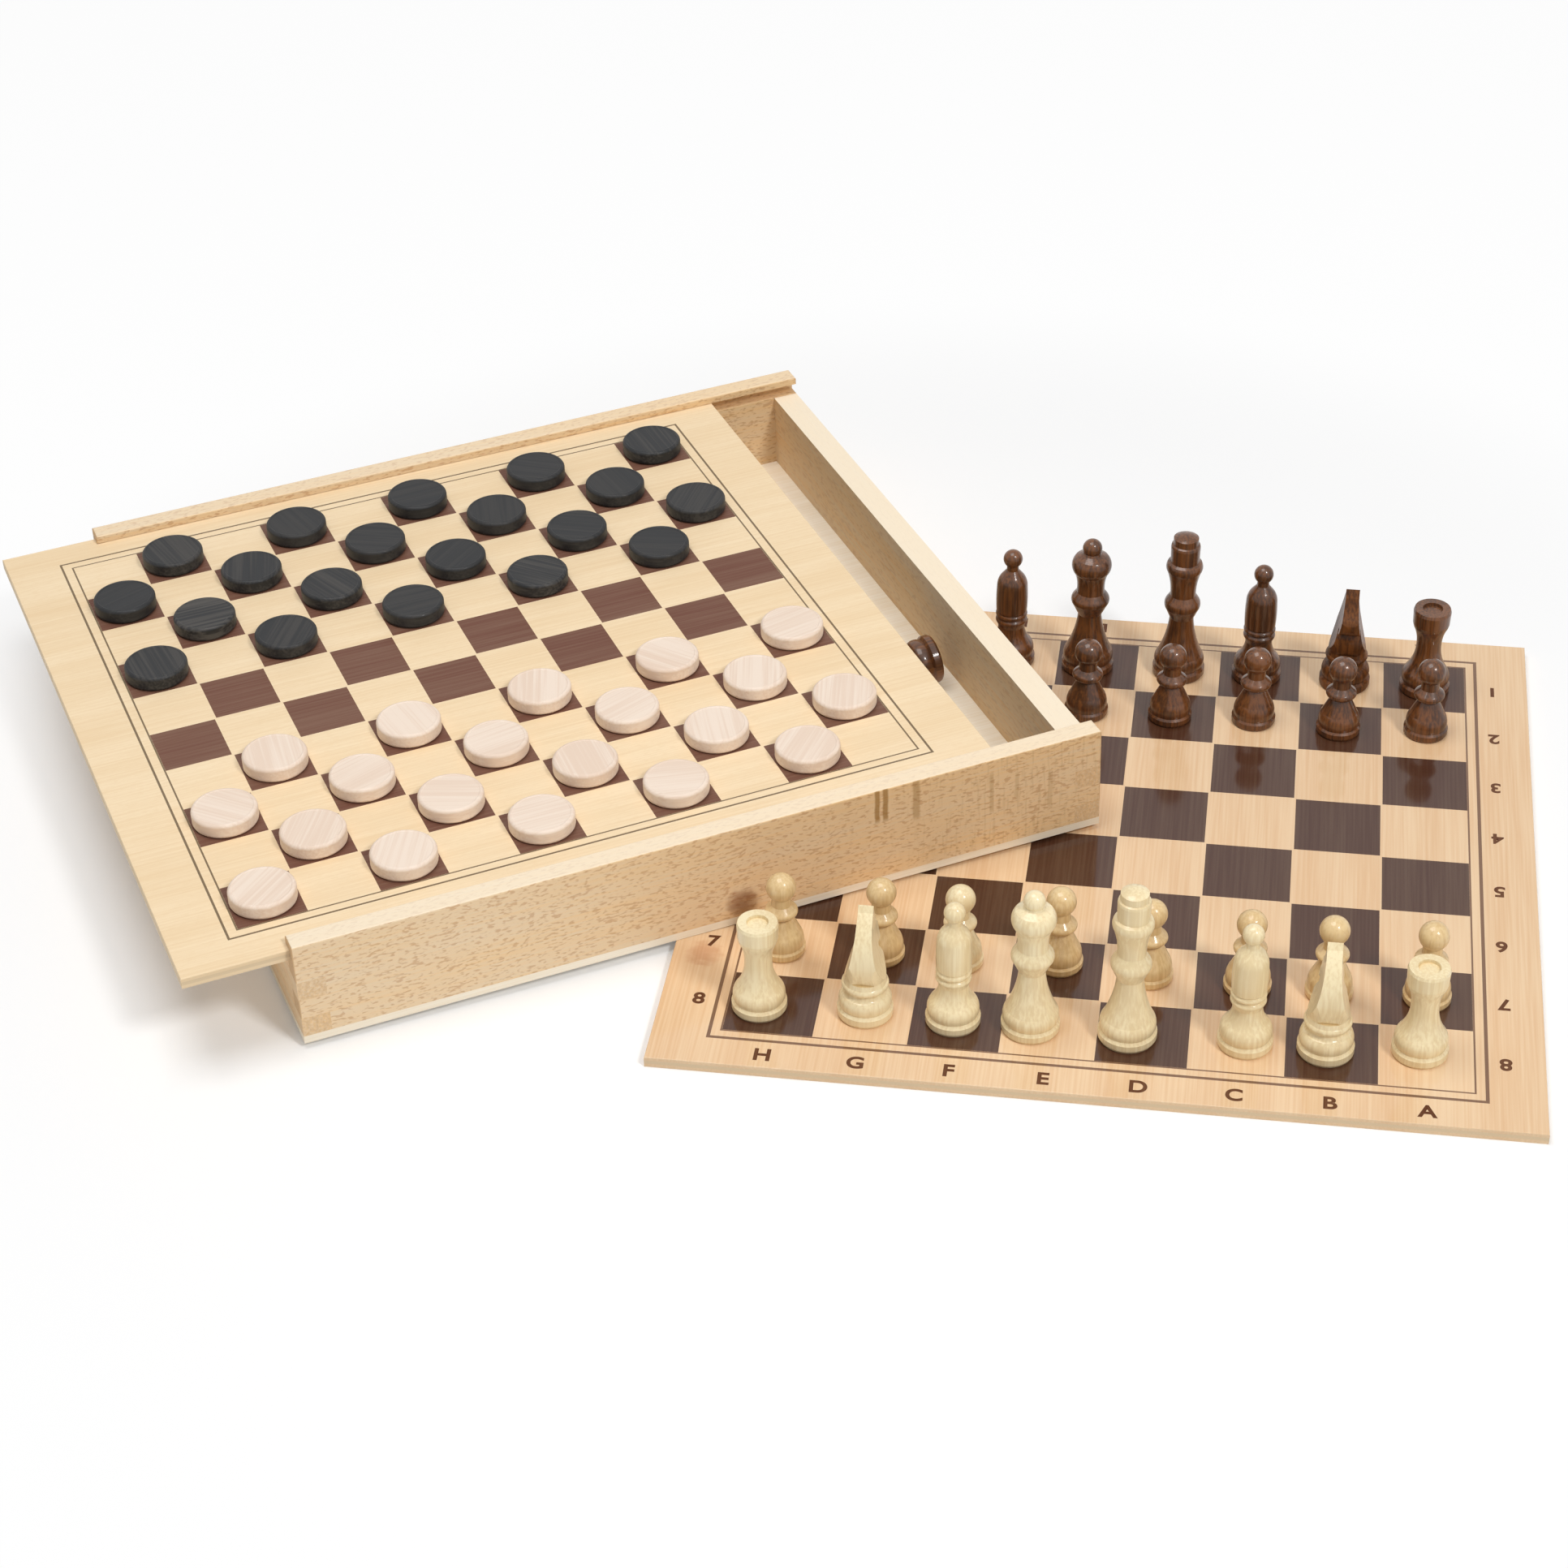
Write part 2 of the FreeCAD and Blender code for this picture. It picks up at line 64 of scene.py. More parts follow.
# Directions of the leaning box and of the flat chess panel: along, back and up
JOINTS = {joint["name"]: joint for joint in frame["joints"]}
BOX_ALONG = Vector(JOINTS["lid_slide"]["axis"]).normalized()
BOX_UP = Vector(JOINTS["black_draughts_1_lift"]["axis"]).normalized()
BOX_AXES = (BOX_ALONG, BOX_UP.cross(BOX_ALONG), BOX_UP)
PANEL_TURN = math.radians(-30.8)
PANEL_ALONG = Vector((math.cos(PANEL_TURN), math.sin(PANEL_TURN), 0))
PANEL_UP = Vector((0, 0, 1))
PANEL_AXES = (PANEL_ALONG, PANEL_UP.cross(PANEL_ALONG), PANEL_UP)
ROOM_AXES = (Vector((1, 0, 0)), Vector((0, 1, 0)), PANEL_UP)

# The one light pawn that stands in full light and keeps the pale tone of the other light men, and
# the men that lie in the box
UNSHADED_PAWN = "light_pawn_f"
LYING_MEN = ("dark_rook_h", "dark_knight_g", "dark_pawn_h", "dark_pawn_g", "dark_pawn_f")

# Squares along a side of each field, and the chess field's letters from the left and numbers
# from the front
DRAUGHTS_SQUARES = 10
CHESS_SQUARES = 8
FILE_LETTERS = "HGFEDCBA"
RANK_NUMBERS = "87654321"

# Widening of the letters' strokes, as a share of the font's size, and stretch of their width
GLYPH_WEIGHT = 0.03
GLYPH_STRETCH = 1.06

# Steps to the metre along and across the grain, for each pattern
SLOW_BANDS = (5, 70)
FINE_STREAKS = (22, 1100)
WALL_FLECKS = (400, 1200)
WALL_RAYS = (90, 800)
FLECK_WAVES = (45, 45)
STREAK_WAVES = (160, 20)
KNOT_FRAYS = (260, 260)
END_WALL_FLECKS = (270, 880)
END_RINGS = (700, 700)
LID_FLECKS = (380, 1300)
DISC_LINES = (18, 420)
MAN_CLOUDS = (60, 110)
CARD_FIBRES = (40, 40)

# How far each mark covers the wood under it
WALL_FLECK_COVER = 0.42
WALL_RAY_COVER = 0.14
WALL_KNOT_COVER = 0.6
WALL_END_COVER = 0.8
# Painted highlight: how far the walls' top faces are lightened for the light falling on them
FRONT_TOP_LIGHT_COVER = 0.65
BACK_TOP_LIGHT_COVER = 0.35
END_WALL_FLECK_COVER = 0.2
END_WALL_TOP_LIGHT_COVER = 0.85
FINGER_COVER = 0.6
LID_FLECK_COVER = 0.35
PANEL_KNOT_COVER = 0.5
LINE_COVER = 0.85

# Height of the grain's relief
WALL_RELIEF = 0.04 * MM
BASE_RELIEF = 0.03 * MM
LID_RELIEF = 0.02 * MM
PANEL_RELIEF = 0.006 * MM
INK_RELIEF = 0.01 * MM
DISC_RELIEF = 0.05 * MM
MAN_RELIEF = 0.01 * MM

# Depth within which a point counts as on a wall's end, and as on an edge or rim
END_SKIN = 0.3 * MM
EDGE_SKIN = 0.2 * MM

# Resin streaks by their place along the front wall, half width, and lower and upper end, all in
# millimetres, and their strength, and the millimetres over which their ends fade
RESIN_STREAKS = (
    (211.6, 1.3, 23, 41, 0.8),
    (214.7, 1.4, 23, 41, 0.8),
    (226.6, 1.9, 20, 41, 0.5),
    (255.8, 1.1, 14, 34, 0.32),
    (265.7, 1.1, 17, 31, 0.25),
    (279.0, 1.3, 9, 28, 0.25),
)
STREAK_FADE = 3

# Knots by their place and half sizes in millimetres: on the front wall from its left foot, and
# on the chess panel from its middle
WALL_KNOT = (159.5, 6.0, 7.0, 6.5)
PANEL_KNOT = (-138.0, -86.0, 7.0, 8.0)

# How far each kind of man takes on the tone of its grain, and the polish of carved faces
LIGHT_GRAIN_DEPTH = 0.36
# Light pawns whose deeper tone is partly their own wood and partly painted shade
SHADED_PAWN_GRAIN_DEPTH = 0.4
DARK_GRAIN_DEPTH = 0.75
CARVED_POLISH = 0.45

# Wear of the discs: what every disc has, and what the most worn has beyond that
PALE_WEAR = (0.6, 0.3)
BLACK_WEAR = (0.3, 0.7)

# Stage: floor's side and its drop below the object, and each lamp's place and size, in metres
FLOOR_SIDE = 12
FLOOR_DROP = 0.02 * MM
KEY_LAMP = ((0.5, -1.8, 2.15), 0.5)
TOP_LAMP = ((-0.35, 0.1, 1.8), 1.0)
WHITE = (1, 1, 1, 1)

# Squared distance from the object's middle, in its half sizes, over which the floor turns white
WHITE_REACH = (1.0, 2.6)

# Rays that see the floor and the room as white
WHITE_RAYS = ("Is Camera Ray", "Is Glossy Ray", "Is Transmission Ray")

# Camera at the photograph's place: position, view and right directions, and what it clips
CAMERA_PLACE = Vector((-0.473484, -0.861923, 0.740388))
CAMERA_FORWARD = Vector((0.29918883, 0.75126663, -0.58828946))
CAMERA_RIGHT = Vector((0.92470603, -0.38036785, -0.01546171))
CAMERA_CLIP = (0.05, 30)


def span(node, axis):
    """Lowest and highest place of a node along an axis, in metres."""
    found = [vertex.co.dot(axis) for vertex in frame["nodes"][node].data.vertices]
    return min(found), max(found)


def middle(node, axes):
    """Middle of a node along each axis."""
    return [sum(span(node, axis)) / 2 for axis in axes]


def low_corner(node, axes):
    """Lowest place of a node along each axis."""
    return [span(node, axis)[0] for axis in axes]


def nodes_named(*starts):
    """Nodes whose names begin with any of the starts, in order."""
    return [name for name in sorted(frame["nodes"]) if name.startswith(starts)]


def linear(value):
    """A screen value from 0 to 255 as an amount of light."""
    level = value / 255
    return level / 12.92 if level <= 0.04045 else ((level + 0.055) / 1.055) ** 2.4


def colour(name, description, *screen_values):
    """A colour setting from its screen values."""
    shade = [linear(value) for value in screen_values]
    return bpy.props.FloatVectorProperty(
        name=name, description=description, subtype="COLOR", size=3, min=0, max=1, default=shade
    )


def length(name, description, millimetres):
    """A length setting from its millimetres."""
    return bpy.props.FloatProperty(
        name=name,
        description=description,
        subtype="DISTANCE",
        unit="LENGTH",
        precision=5,
        default=millimetres * MM,
    )


def share(name, description, amount):
    """A setting from none to all."""
    return bpy.props.FloatProperty(
        name=name, description=description, subtype="FACTOR", min=0, max=1, default=amount
    )


class BoxWoodSettings(bpy.types.PropertyGroup):
    """Beech walls and the plywood base of the box."""

    wall_pale: colour("Wall", "Pale tone of the beech walls", 231, 208, 175)
    wall_deep: colour("Wall grain", "Deeper tone along the grain of the walls", 237, 199, 146)
    fleck: colour("Flecks", "Short dark flecks of the beech", 176, 117, 64)
    # Painted highlight: lighter tone of the walls' top faces, for the light falling on them
    painted_top_light: colour("Rims", "Sanded upper edges of the walls", 250, 236, 212)
    end_grain: colour("End grain", "Ends of the fingers at the corners", 206, 168, 122)
    streak: colour("Streaks", "Upright resin streaks on the front wall", 160, 118, 56)
    knot: colour("Knot", "Reddish knot at the foot of the front wall", 138, 78, 42)
    base_pale: colour("Base", "Pale tone of the box's floor", 250, 241, 224)
    base_deep: colour("Base grain", "Grain of the box's floor", 240, 225, 199)
    roughness: share("Roughness", "How matt the sanded wood is", 0.62)


class BoardSettings(bpy.types.PropertyGroup):
    """The draughts lid and the chess panel with their printed fields."""

    lid_pale: colour("Lid", "Pale tone of the lid's veneer", 246, 223, 187)
    lid_deep: colour("Lid grain", "Grain of the lid's veneer", 236, 208, 167)
    lid_ink: colour("Lid's squares", "Print of the lid's dark squares", 104, 64, 50)
    lid_line_ink: colour("Lid's lines", "Print of the lid's border lines", 82, 60, 34)
    panel_pale: colour("Panel", "Pale tone of the chess panel's veneer", 236, 205, 166)
    panel_deep: colour("Panel grain", "Reddish grain of the chess panel", 224, 184, 141)
    panel_knot: colour("Panel knot", "Reddish knot on the panel's left border", 196, 132, 92)
    panel_ink: colour("Panel's squares", "Print of the chess panel's dark squares", 67, 35, 20)
    panel_line_ink: colour("Panel's lines", "Print of the panel's lines and letters", 88, 45, 20)
    ply_core: colour("Ply core", "Middle layer at the boards' edges", 214, 190, 154)
    lid_pitch: length("Draughts pitch", "Side of a draughts square", 25.0)
    panel_pitch: length("Chess pitch", "Side of a chess square", 31.4)
    square_gap: length("Print gap", "Bare strip at the edge of a dark square", 0.35)
    line_width: length("Line", "Width of the thin border lines", 0.65)
    outer_width: length("Outer line", "Width of the chess panel's outer line", 1.25)
    lid_outer_width: length("Lid's outer line", "Width of the lid's outer line", 0.85)
    line_step: length("Line step", "Outer line beyond the field", 3.85)
    glyph_height: length("Letter height", "Height of the letters and numbers", 6.1)
    glyph_depth: length("Print depth", "Thickness of the printed letters", 0.05)
    letters_out: length("Letters out", "Letters' middle from the panel's middle", 136.5)
    numbers_out: length("Numbers out", "Numbers' middle from the panel's middle", 135.8)


class MenSettings(bpy.types.PropertyGroup):
    """Draughtsmen and chessmen."""

    pale_draught: colour("Pale draughtsmen", "Face of the pale draughtsmen", 241, 223, 206)
    pale_draught_grain: colour("Pale grain", "Grain of the pale draughtsmen", 228, 203, 182)
    black_draught: colour("Black draughtsmen", "Face of the black draughtsmen", 27, 28, 30)
    black_draught_grain: colour("Black grain", "Worn grain of the black draughtsmen", 72, 69, 66)
    light_man: colour("Light chessmen", "Body of the light chessmen", 246, 229, 187)
    light_man_grain: colour("Light grain", "Grain of the light chessmen", 204, 166, 100)
    # Most light pawns: a deeper tone, partly their own wood and partly painted shade from the men
    # in front of them
    light_pawn: colour("Light pawns", "Deeper body of most light pawns", 231, 202, 150)
    shaded_pawn_grain: colour("Pawn grain", "Grain of those pawns", 188, 143, 82)
    dark_man: colour("Dark chessmen", "Body of the dark chessmen", 118, 70, 32)
    dark_man_grain: colour("Dark grain", "Grain of the dark chessmen", 38, 19, 10)
    lacquer: share("Lacquer", "Gloss coat on the chessmen", 0.55)
    # Painted shade: a deeper tone in the turned grooves and recesses of the chessmen, where shade
    # falls
    crease_shade_width: length("Crease", "Width of the deeper tone in turned grooves", 2.0)
    crease_shade_strength: share("Crease depth", "Strength of the deeper tone in turned grooves", 0.6)


class StageSettings(bpy.types.PropertyGroup):
    """Floor, lamps and camera."""

    floor: colour("Floor", "Plain pale floor", 252, 252, 252)
    floor_fibre: colour("Floor fibres", "Faint fibres of the floor's card", 232, 232, 232)
    floor_glow: share("Floor glow", "How far the shadows by the object are softened", 0.12)
    sweep_glow: share("Sweep glow", "How far the floor away from the object is white", 0.9)
    daylight: share("Surrounding light", "Even light from all round", 0.28)
    key_power: bpy.props.FloatProperty(
        name="Key lamp",
        description="Soft lamp in front, right of the camera",
        unit="POWER",
        default=34.0,
    )
    top_power: bpy.props.FloatProperty(
        name="Top lamp", description="Soft lamp overhead", unit="POWER", default=16.0
    )
    lens: bpy.props.FloatProperty(
        name="Lens", description="Camera lens", subtype="DISTANCE_CAMERA", default=77.33
    )


class Wire:
    """An output in a finish's tree of nodes. Sums on wires and numbers add Math nodes."""

    def __init__(self, tree, socket=None):
        self.tree = tree
        self.socket = socket

    def node(self, kind, settings, sockets, output=0):
        """Add a node, set it up, then give its sockets their values or links."""
        made = self.tree.nodes.new(kind)
        for name, value in settings.items():
            setattr(made, name, value)
        for key, value in sockets.items():
            if isinstance(value, Wire):
                self.tree.links.new(value.socket, made.inputs[key])
            else:
                made.inputs[key].default_value = value
        return Wire(self.tree, made.outputs[output] if made.outputs else None)

    def maths(self, operation, *terms):
        """Add a Math node."""
        return self.node("ShaderNodeMath", {"operation": operation}, dict(enumerate(terms)))

    def __add__(self, other):
        return self.maths("ADD", self, other)

    def __sub__(self, other):
        return self.maths("SUBTRACT", self, other)

    def __rsub__(self, other):
        return self.maths("SUBTRACT", other, self)

    def __mul__(self, other):
        return self.maths("MULTIPLY", self, other)

    def __truediv__(self, other):
        return self.maths("DIVIDE", self, other)

    def __pow__(self, other):
        return self.maths("POWER", self, other)

    def __mod__(self, other):
        return self.maths("FLOORED_MODULO", self, other)

    def __lt__(self, other):
        return self.maths("LESS_THAN", self, other)

    def __gt__(self, other):
        return self.maths("GREATER_THAN", self, other)

    def __abs__(self):
        return self.maths("ABSOLUTE", self)

    def __floor__(self):
        return self.maths("FLOOR", self)

    __radd__ = __add__
    __rmul__ = __mul__


def larger(one, other):
    """The larger of two values."""
    return one.maths("MAXIMUM", one, other)


def smaller(one, other):
    """The smaller of two values."""
    return one.maths("MINIMUM", one, other)


def rise(wire, low, high):
    """From none at low to all at high, eased at both ends."""
    sockets = {"Value": wire, "From Min": low, "From Max": high}
    return wire.node("ShaderNodeMapRange", {"interpolation_type": "SMOOTHSTEP"}, sockets)


def mixed(factor, under, over):
    """A colour between under and over."""
    sides = [side if isinstance(side, Wire) else (*side, 1) for side in (under, over)]
    sockets = {0: factor, 6: sides[0], 7: sides[1]}
    return factor.node("ShaderNodeMix", {"data_type": "RGBA"}, sockets, 2)


def places(point, axes, origin):
    """Distances of a point from the origin along the axes."""
    wires = []
    for axis, start in zip(axes, origin):
        sockets = {0: point, 1: axis}
        dotted = point.node("ShaderNodeVectorMath", {"operation": "DOT_PRODUCT"}, sockets, 1)
        wires.append(dotted - start)
    return wires


def spread(along, across, through, steps):
    """A vector drawn out along the grain, for a pattern's steps to the metre."""
    parts = {0: along * steps[0], 1: across * steps[1], 2: through * steps[1]}
    return along.node("ShaderNodeCombineXYZ", {}, parts)


def noise(vector, detail=2.0):
    """Cloudy values round a half."""
    sockets = {"Vector": vector, "Scale": 1.0, "Detail": detail}
    return vector.node("ShaderNodeTexNoise", {}, sockets)


def grain_of(along, across, through):
    """Slow bands and fine streaks of wood together, from none to all."""
    bands = noise(spread(along, across, through, SLOW_BANDS), 3)
    streaks = noise(spread(along, across, through, FINE_STREAKS), 2)
    return rise(bands * 0.5 + streaks * 0.5, 0.3, 0.7)


def dashes(along, across, through, steps):
    """Short irregular dashes drawn out along the grain."""
    return rise(noise(spread(along, across, through, steps), 1), 0.52, 0.68)


def knot(across, up, place):
    """A round soft knot: place across and up, and its half width and height, in millimetres."""
    middle_across, middle_up, half_width, half_height = place
    wide = (across / MM - middle_across) / half_width
    tall = (up / MM - middle_up) / half_height
    ragged = noise(spread(across, up, up, KNOT_FRAYS), 3) - 0.5
    return 1 - rise(wide * wide + tall * tall + ragged * 1.4, 0.05, 1.1)


def new_finish(name):
    """A material and the point of the surface that it colours."""
    material = bpy.data.materials.new(name)
    material.use_nodes = True
    material.node_tree.nodes.clear()
    point = Wire(material.node_tree).node("ShaderNodeTexCoord", {}, {}, "Object")
    return material, point


def close_finish(base, roughness, height, depth, **constants):
    """Give the tree its shader: base colour, roughness, and relief of a depth in metres."""
    normal = base.node("ShaderNodeBump", {}, {"Distance": depth, "Height": height})
    sockets = {"Base Color": base, "Roughness": roughness, "Normal": normal, **constants}
    shader = base.node("ShaderNodeBsdfPrincipled", {}, sockets)
    base.node("ShaderNodeOutputMaterial", {}, {"Surface": shader})


def dress(material, *names):
    """Put a finish on nodes."""
    for name in names:
        for slot in frame["nodes"][name].material_slots:
            slot.material = material


def side_wall_finish(name, node, top_light_cover, streaked):
    """Beech along the box, with end grain at both ends and, in front, resin streaks."""
    wood = bpy.context.scene.box_wood
    material, point = new_finish(name)
    origin = low_corner("front_wall", BOX_AXES)
    along, back, up = places(point, BOX_AXES, origin)
    reach = span("front_wall", BOX_ALONG)[1] - origin[0]
    grain = grain_of(along, back, up)
    rightward = rise(along, reach * 0.2, reach * 0.95)
    base = mixed(smaller(grain * 0.7 + rightward * 0.3, 1), wood.wall_pale, wood.wall_deep)
    wave = (noise(spread(along, back, up, FLECK_WAVES)) - 0.5) * 5 * MM
    flecks = dashes(along, back + wave, up + wave, WALL_FLECKS)
    base = mixed(flecks * WALL_FLECK_COVER, base, wood.fleck)
    top_face = up > rim_height(node)
    if streaked:
        rays = dashes(up, along, back, WALL_RAYS) * rise(along, reach * 0.66, reach * 0.86)
        base = mixed(rays * WALL_RAY_COVER, base, wood.streak)
        base = mixed(upright_streaks(along, up) * (1 - top_face), base, wood.streak)
        base = mixed(knot(along, up, WALL_KNOT) * WALL_KNOT_COVER, base, wood.knot)
    # Painted highlight: the top face is lightened for the light falling on it
    base = mixed(top_face * top_light_cover, base, wood.painted_top_light)
    ends = smaller(along, reach - along) < END_SKIN
    base = mixed(ends * WALL_END_COVER, base, wood.end_grain)
    close_finish(base, wood.roughness + grain * 0.12, grain - flecks, WALL_RELIEF)
    return material


def rim_height(node):
    """Height above the walls' foot at which a wall's upper edge begins."""
    return span(node, BOX_UP)[1] - span("front_wall", BOX_UP)[0] - EDGE_SKIN


def upright_streaks(along, up):
    """Upright resin streaks at their places along the front wall."""
    wavy = along + (noise(spread(up, along, along, STREAK_WAVES)) - 0.5) * 1.2 * MM
    total = None
    for place, half_width, low, high, strength in RESIN_STREAKS:
        line = 1 - rise(abs(wavy - place * MM), half_width * 0.4 * MM, half_width * MM)
        foot = rise(up, low * MM, (low + STREAK_FADE) * MM)
        head = 1 - rise(up, (high - STREAK_FADE) * MM, high * MM)
        streak = line * (foot * head) * strength
        total = streak if total is None else larger(total, streak)
    return total


def end_wall_finish(name):
    """Beech across the box, with end grain where the fingers show in front and behind."""
    wood = bpy.context.scene.box_wood
    material, point = new_finish(name)
    origin = low_corner("front_wall", BOX_AXES)
    along, back, up = places(point, BOX_AXES, origin)
    width = span("back_wall", BOX_AXES[1])[1] - origin[1]
    grain = grain_of(back, along, up)
    base = mixed(grain, wood.wall_pale, wood.wall_deep)
    flecks = dashes(back, along, up, END_WALL_FLECKS)
    base = mixed(flecks * END_WALL_FLECK_COVER, base, wood.fleck)
    top_face = up > rim_height("right_wall")
    # Painted highlight: the top face is lightened for the light falling on it
    base = mixed(top_face * END_WALL_TOP_LIGHT_COVER, base, wood.painted_top_light)
    ends = smaller(back, width - back) < END_SKIN
    rings = noise(spread(along, up, back, END_RINGS), 3)
    base = mixed(ends * rise(rings, 0.2, 0.7) * FINGER_COVER, base, wood.end_grain)
    close_finish(base, wood.roughness + grain * 0.12, grain - flecks, WALL_RELIEF)
    return material


def base_finish(name):
    """Pale plywood of the box's floor."""
    wood = bpy.context.scene.box_wood
    material, point = new_finish(name)
    along, back, up = places(point, BOX_AXES, low_corner("front_wall", BOX_AXES))
    grain = grain_of(along, back, up)
    base = mixed(grain, wood.base_pale, wood.base_deep)
    close_finish(base, wood.roughness + grain * 0.1, grain, BASE_RELIEF)
    return material


def field_masks(across, back, pitch, squares):
    """A field's dark squares, a point's distance out from its middle, and half the field."""
    boards = bpy.context.scene.boards
    half = pitch * squares / 2
    steps = [(place + half) / pitch for place in (across, back)]
    odd = (math.floor(steps[0]) + math.floor(steps[1])) % 2
    frame_out = larger(abs(across), abs(back))
    printed = (odd < 0.5) * (frame_out < half)
    for step in steps:
        inside = step % 1
        from_edge = smaller(inside, 1 - inside) * pitch
        printed = printed * (from_edge > boards.square_gap)
    return printed, frame_out, half


def ruled(frame_out, out, width):
    """A square line at a distance from the field's middle."""
    return abs(frame_out - out) < width / 2


def border_lines(frame_out, half, outer_width):
    """The thin line round a field and the line beyond it."""
    boards = bpy.context.scene.boards
    thin = ruled(frame_out, half, boards.line_width)
    return larger(thin, ruled(frame_out, half + boards.line_step, outer_width))


def ply_edge(across, back, up, node, axes):
    """Layers at the sides of a board: none on its faces, most in its middle layer."""
    sides = None
    for place, axis in ((across, axes[0]), (back, axes[1])):
        low, high = span(node, axis)
        side = abs(place) > (high - low) / 2 - EDGE_SKIN
        sides = side if sides is None else larger(sides, side)
    layer = 1 - rise(abs(up), 0.5 * MM, 0.9 * MM)
    return sides * (0.35 + layer * 0.5)


def lid_finish(name):
    """Pale veneer with the draughts field printed on it."""
    boards = bpy.context.scene.boards
    material, point = new_finish(name)
    across, back, up = places(point, BOX_AXES, middle("sliding_lid", BOX_AXES))
    grain = grain_of(across, back, up)
    base = mixed(grain, boards.lid_pale, boards.lid_deep)
    flecks = dashes(across, back, up, LID_FLECKS)
    base = mixed(flecks * LID_FLECK_COVER, base, boards.lid_deep)
    dark, frame_out, half = field_masks(across, back, boards.lid_pitch, DRAUGHTS_SQUARES)
    top = up > 0
    lines = border_lines(frame_out, half, boards.lid_outer_width) * top
    dark = dark * top
    base = mixed(dark * (0.93 + grain * 0.07), base, boards.lid_ink)
    base = mixed(lines * LINE_COVER, base, boards.lid_line_ink)
    edge = ply_edge(across, back, up, "sliding_lid", BOX_AXES)
    base = mixed(edge, base, boards.ply_core)
    matt = {"Specular IOR Level": 0.3}
    close_finish(base, 0.5 + grain * 0.1, grain, LID_RELIEF, **matt)
    return material


def panel_finish(name):
    """Reddish veneer under a gloss coat, with the chess field printed on it."""
    boards = bpy.context.scene.boards
    material, point = new_finish(name)
    across, back, up = places(point, PANEL_AXES, middle("chess_panel", PANEL_AXES))
    grain = grain_of(back, across, up)
    base = mixed(grain, boards.panel_pale, boards.panel_deep)
    base = mixed(knot(across, back, PANEL_KNOT) * PANEL_KNOT_COVER, base, boards.panel_knot)
    dark, frame_out, half = field_masks(across, back, boards.panel_pitch, CHESS_SQUARES)
    top = up > 0
    lines = border_lines(frame_out, half, boards.outer_width) * top
    dark = dark * top
    base = mixed(dark * (0.95 + grain * 0.05), base, boards.panel_ink)
    base = mixed(lines * LINE_COVER, base, boards.panel_line_ink)
    edge = ply_edge(across, back, up, "chess_panel", PANEL_AXES)
    base = mixed(edge, base, boards.ply_core)
    gloss = {"Coat Weight": 0.75, "Coat Roughness": 0.1, "Specular IOR Level": 0.1}
    close_finish(base, 0.4 + grain * 0.08, grain, PANEL_RELIEF, **gloss)
    return material


def ink_finish(name):
    """Brown print of the letters and numbers."""
    boards = bpy.context.scene.boards
    material, point = new_finish(name)
    across, back, up = places(point, PANEL_AXES, middle("chess_panel", PANEL_AXES))
    grain = grain_of(back, across, up)
    base = mixed(grain * 0.08, boards.panel_line_ink, boards.panel_deep)
    matt = {"Specular IOR Level": 0.2}
    close_finish(base, 0.42 + grain * 0.08, grain, INK_RELIEF, **matt)
    return material


def draughts_finish(name, body, grained, worn):
    """Turned discs whose grain runs its own way on each, with some more worn than others."""
    boards = bpy.context.scene.boards
    material, point = new_finish(name)
    across, back, up = places(point, BOX_AXES, middle("sliding_lid", BOX_AXES))
    half = boards.lid_pitch * DRAUGHTS_SQUARES / 2
    columns = (across + half) / boards.lid_pitch
    rows = (back + half) / boards.lid_pitch
    square = point.node("ShaderNodeCombineXYZ", {}, {0: math.floor(columns), 1: math.floor(rows)})
    luck = point.node("ShaderNodeTexWhiteNoise", {}, {"Vector": square})
    angle = luck * math.tau
    turn_along = angle.maths("COSINE", angle)
    turn_across = angle.maths("SINE", angle)
    along = across * turn_along + back * turn_across
    side = back * turn_along - across * turn_across
    grain = grain_of(along, side, up)
    lines = noise(spread(along, side, up, DISC_LINES), 2)
    share_worn = worn[0] + luck**3 * worn[1]
    base = mixed(rise(grain * 0.5 + lines * 0.5, 0.3, 0.7) * share_worn, body, grained)
    matt = {"Coat Weight": 0.05, "Specular IOR Level": 0.3}
    close_finish(base, 0.48 + grain * 0.16, lines, DISC_RELIEF, **matt)
    return material


def chessman_finish(name, axes, body, grained, depth, polish=1.0):
    """Turned and lacquered wood with its grain along the man; carved faces have less polish."""
    men = bpy.context.scene.men
    material, point = new_finish(name)
    along, across, through = places(point, axes, (0, 0, 0))
    grain = grain_of(along, across, through)
    clouds = noise(spread(along, across, through, MAN_CLOUDS), 3)
    base = mixed(rise(grain * 0.6 + clouds * 0.4, 0.25, 0.75) * depth, body, grained)
    # Painted shade in grooves and recesses: the less open a point, the more it takes the deeper
    # grain tone
    settings = {"only_local": True, "samples": 6}
    openness = point.node("ShaderNodeAmbientOcclusion", settings, {"Distance": men.crease_shade_width}, "AO")
    base = mixed((1 - rise(openness, 0.35, 0.9)) * men.crease_shade_strength, base, grained)
    gloss = {
        "Coat Weight": men.lacquer * polish,
        "Coat Roughness": 0.1,
        "Specular IOR Level": 0.3 * polish,
    }
    close_finish(base, 0.54 - 0.2 * polish + grain * 0.12, grain, MAN_RELIEF, **gloss)
    return material


